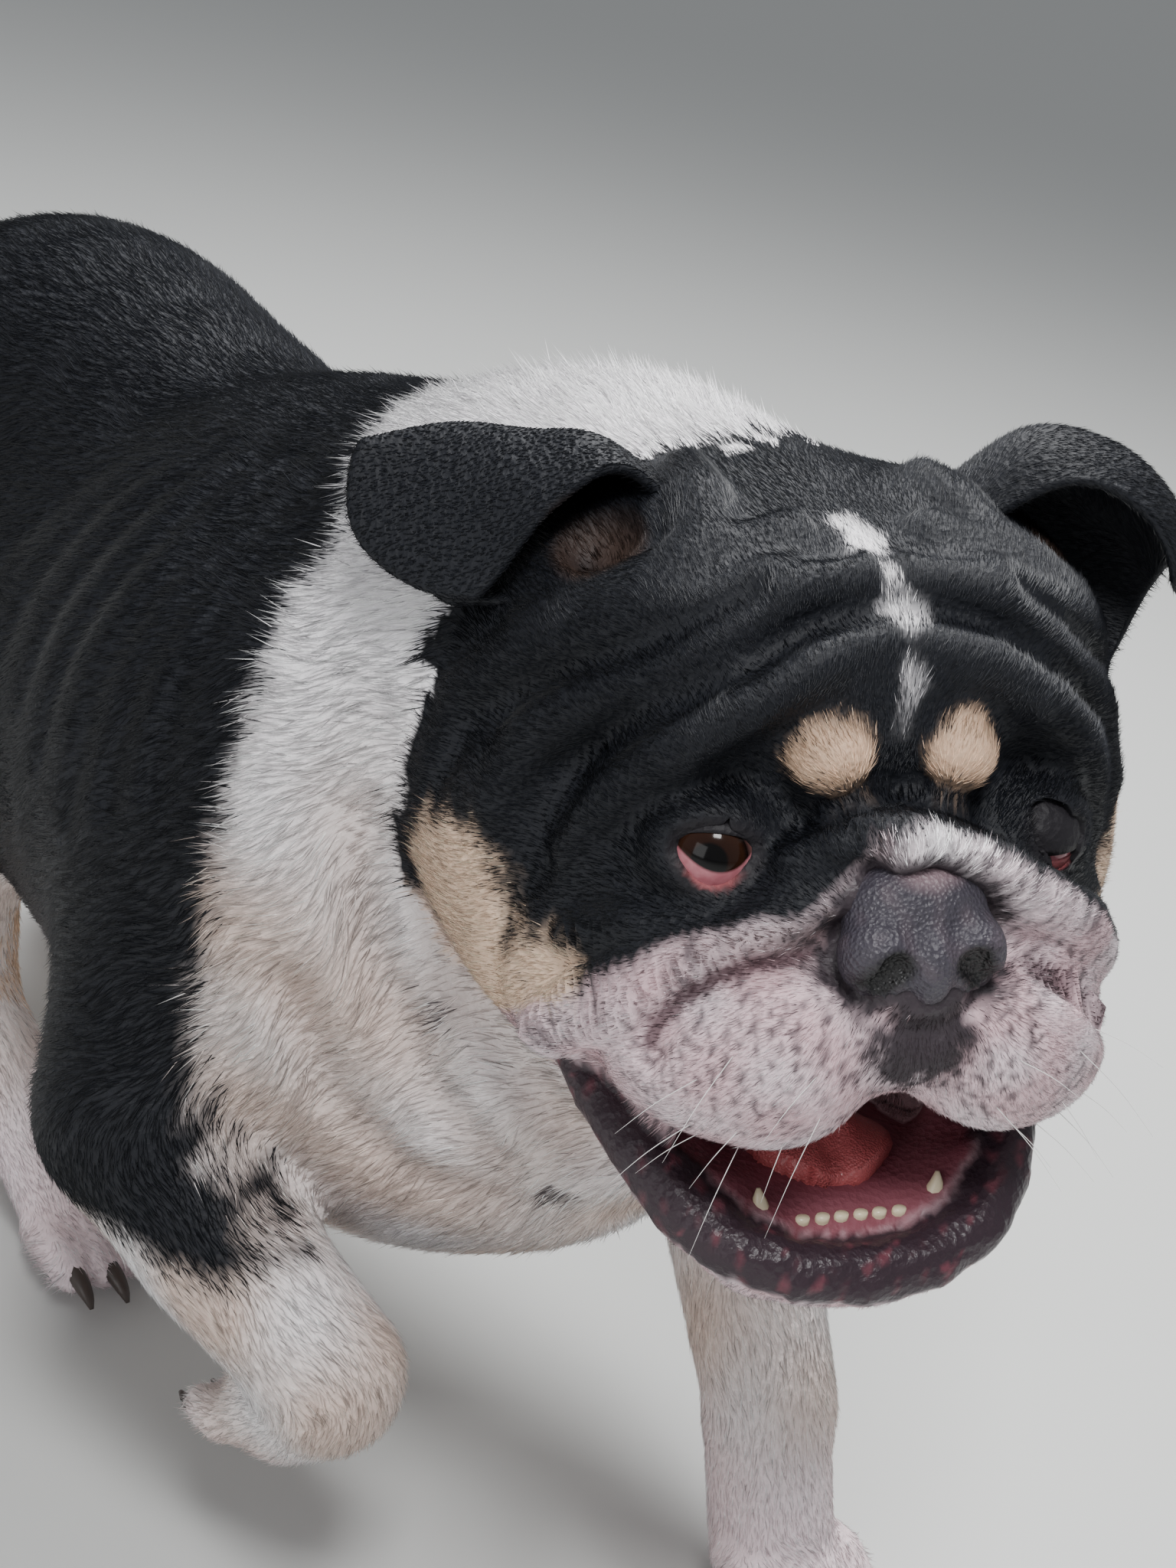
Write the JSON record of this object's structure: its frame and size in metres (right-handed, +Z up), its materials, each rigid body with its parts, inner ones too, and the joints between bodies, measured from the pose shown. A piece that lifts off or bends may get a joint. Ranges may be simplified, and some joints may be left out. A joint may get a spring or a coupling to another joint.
{
  "type": "english bulldog",
  "caption": "Standing bulldog in mid stride with a broad folded head turned to its right and an open mouth.",
  "frame": {"origin": "middle of the model's box, on the floor under the soles", "axes": "+Z up, the dog faces -Y along its length, its left side is on +X"},
  "size_m": [0.2998, 0.6806, 0.4503],
  "materials": {
    "black_coat": "short glossy black fur",
    "white_coat": "short dense white fur",
    "tan_coat": "short tan fur",
    "lip": "wet dark lip skin",
    "tongue": "wet pink skin",
    "nose": "pebbled moist nose skin",
    "eye": "wet dark brown eye"
  },
  "bodies": {
    "root": {"head": "black_coat", "lower_lip": "lip", "lower_jaw": "white_coat", "eye_right": "eye", "eye_left": "eye", "nose": "nose", "tongue": "tongue", "ear_right": "black_coat", "ear_left": "black_coat", "neck": "white_coat", "chest": "black_coat", "loin": "black_coat", "rump": "black_coat", "tail": "black_coat", "foreleg_right_upper": "black_coat", "foreleg_right_lower": "white_coat", "foreleg_right_paw": "white_coat", "foreleg_left_upper": "black_coat", "foreleg_left_lower": "white_coat", "foreleg_left_paw": "white_coat", "hindleg_right_upper": "black_coat", "hindleg_right_lower": "tan_coat", "hindleg_right_paw": "white_coat", "hindleg_left_upper": "black_coat", "hindleg_left_lower": "tan_coat", "hindleg_left_paw": "white_coat"}
  },
  "joints": []
}
